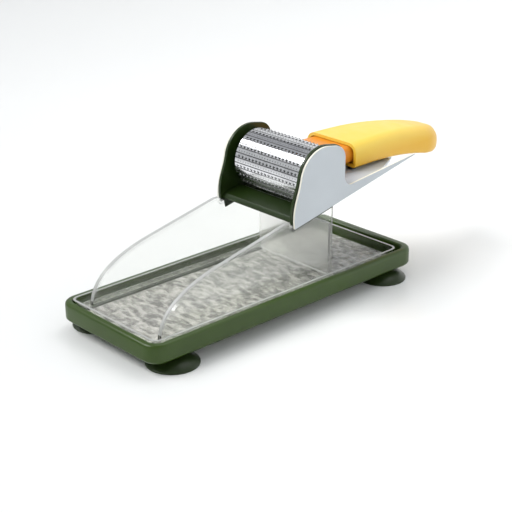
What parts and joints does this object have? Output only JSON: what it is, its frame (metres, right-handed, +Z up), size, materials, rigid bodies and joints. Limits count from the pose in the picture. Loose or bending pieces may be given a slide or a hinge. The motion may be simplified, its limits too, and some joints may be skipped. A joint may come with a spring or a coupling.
{
  "type": "mandoline slicer",
  "caption": "Table mandoline with a grating drum and hinged grip on a removable clear guard, which stands in a liner in a suction-footed green tray.",
  "frame": {"origin": "on the table, at the middle of the whole slicer's footprint in X and Y", "axes": "+X to the right of someone at the open front of the tray, +Y from the open front towards the grip's tail, +Z up"},
  "size_m": [0.1018, 0.2849, 0.1017],
  "materials": {
    "green_tray": "glossy moulded green",
    "suction_rubber": "dark green, semi-gloss",
    "clear_liner": "clear, hammered floor",
    "clear_guard": "clear, polished",
    "green_cheek": "dark green, satin",
    "grey_plate": "light cool grey, satin",
    "nylon": "dark, low friction",
    "blade_steel": "ground edge",
    "bright_steel": "polished",
    "drum_steel": "polished, pierced rasp rows",
    "pad_rubber": "soft black",
    "yellow_grip": "smooth, warm yellow",
    "amber_cup": "smooth, amber orange"
  },
  "bodies": {
    "base": {"base_tray": "green_tray", "suction_foot_front_left": "suction_rubber", "suction_foot_front_right": "suction_rubber", "suction_foot_rear_left": "suction_rubber", "suction_foot_rear_right": "suction_rubber"},
    "liner": {"catch_liner": "clear_liner"},
    "guard": {"splash_guard": "clear_guard"},
    "head": {"cheek_left": "green_cheek", "cheek_right": "green_cheek", "side_plate_left": "grey_plate", "side_plate_right": "grey_plate", "rail_runner_left": "nylon", "rail_runner_right": "nylon", "throat_ramp": "green_cheek", "slicing_blade": "blade_steel", "blade_screw_left": "bright_steel", "blade_screw_middle": "bright_steel", "blade_screw_right": "bright_steel", "arm_tongue": "grey_plate", "drum_scraper": "green_cheek", "hinge_pin": "bright_steel", "axle_bush_left": "nylon", "axle_bush_right": "nylon", "drum_spacer": "nylon", "rest_pad_left": "pad_rubber", "rest_pad_right": "pad_rubber"},
    "drum": {"drum_shell": "drum_steel", "drum_cap_left": "green_cheek", "drum_cap_right": "green_cheek", "drum_axle": "bright_steel"},
    "grip": {"grip_shell": "yellow_grip", "grip_base": "yellow_grip", "grip_screw_front": "bright_steel", "grip_screw_rear": "bright_steel", "food_cup": "amber_cup"}
  },
  "joints": [
    {"name": "liner_lift", "type": "slide", "parent": "base", "child": "liner", "axis": [0, 0, 1], "range_m": [0, 0.03]},
    {"name": "guard_lift", "type": "slide", "parent": "liner", "child": "guard", "axis": [0, 0, 1], "range_m": [0, 0.03]},
    {"name": "head_slide", "type": "slide", "parent": "guard", "child": "head", "axis": [0, 0.9781, 0.2079], "range_m": [0, 0.03]},
    {"name": "drum_spin", "type": "hinge", "parent": "head", "child": "drum", "pos_m": [0, 0.0005, 0.08124], "axis": [1, 0, 0], "continuous": true},
    {"name": "grip_hinge", "type": "hinge", "parent": "head", "child": "grip", "pos_m": [0, 0.0875, 0.08004], "axis": [-1, 0, 0], "range_deg": [0, 40]}
  ]
}
